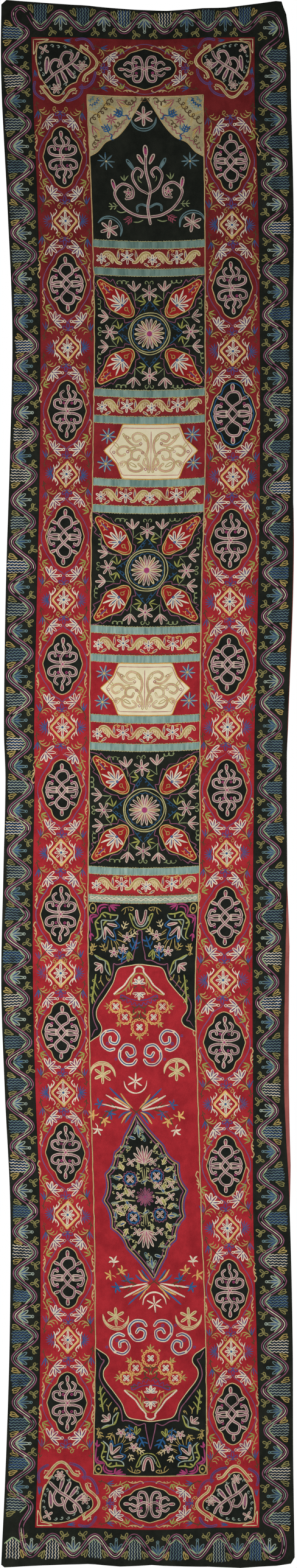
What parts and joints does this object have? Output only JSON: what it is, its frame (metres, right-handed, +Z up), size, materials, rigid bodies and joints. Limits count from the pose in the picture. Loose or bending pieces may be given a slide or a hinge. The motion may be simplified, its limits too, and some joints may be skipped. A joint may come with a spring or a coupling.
{
  "type": "embroidered wall hanging",
  "caption": "Long narrow wall hanging of pieced red and black wool with laid-on felt panels, silk ribbons and chain-stitch flowers, lined at the back and hung by its top edge.",
  "frame": {"origin": "middle of the top edge, where the hanging is held", "axes": "+Z up along the hanging, +X to the right seen from the front, the embroidered face looks towards -Y and +Y goes into the wall"},
  "size_m": [0.5647, 0.0188, 3.0128],
  "materials": {
    "lining_cotton": "plain woven cotton, matte",
    "black_wool": "felted wool broadcloth, matte",
    "black_felt": "laid-on felted wool, matte",
    "red_wool": "felted wool broadcloth, matte, unevenly faded",
    "beige_felt": "laid-on felted wool, matte",
    "cream_felt": "laid-on felted wool, matte",
    "teal_silk": "ribbed silk ribbon, soft sheen"
  },
  "bodies": {
    "root": {"lining": "lining_cotton", "border_black": "black_wool", "border_red_upper": "red_wool", "border_red_lower": "red_wool", "niche_ground": "black_wool", "band_upper": "red_wool", "square_1": "black_wool", "red_panel_1": "red_wool", "square_2": "black_wool", "red_panel_2": "red_wool", "square_3": "black_wool", "band_lower": "red_wool", "field_ground": "red_wool", "ribbon_01": "teal_silk", "ribbon_02": "teal_silk", "ribbon_03": "teal_silk", "ribbon_04": "teal_silk", "ribbon_05": "teal_silk", "ribbon_06": "teal_silk", "ribbon_07": "teal_silk", "ribbon_08": "teal_silk", "ribbon_09": "teal_silk", "ribbon_10": "teal_silk", "ribbon_11": "teal_silk", "ribbon_12": "teal_silk", "spandrel_left": "beige_felt", "spandrel_right": "beige_felt", "hexagon_1": "cream_felt", "hexagon_2": "cream_felt", "field_spandrel_top": "black_felt", "field_spandrel_bottom": "black_felt", "field_medallion": "black_felt", "medallion_left_01": "black_felt", "medallion_left_02": "black_felt", "medallion_left_03": "black_felt", "medallion_left_04": "black_felt", "medallion_left_05": "black_felt", "medallion_left_06": "black_felt", "medallion_left_07": "black_felt", "medallion_left_08": "black_felt", "medallion_left_09": "black_felt", "medallion_left_10": "black_felt", "medallion_left_11": "black_felt", "medallion_right_01": "black_felt", "medallion_right_02": "black_felt", "medallion_right_03": "black_felt", "medallion_right_04": "black_felt", "medallion_right_05": "black_felt", "medallion_right_06": "black_felt", "medallion_right_07": "black_felt", "medallion_right_08": "black_felt", "medallion_right_09": "black_felt", "medallion_right_10": "black_felt", "medallion_right_11": "black_felt", "medallion_top": "black_felt", "medallion_bottom": "black_felt", "medallion_corner_top_left": "black_felt", "medallion_corner_top_right": "black_felt", "medallion_corner_bottom_left": "black_felt", "medallion_corner_bottom_right": "black_felt"}
  },
  "joints": []
}
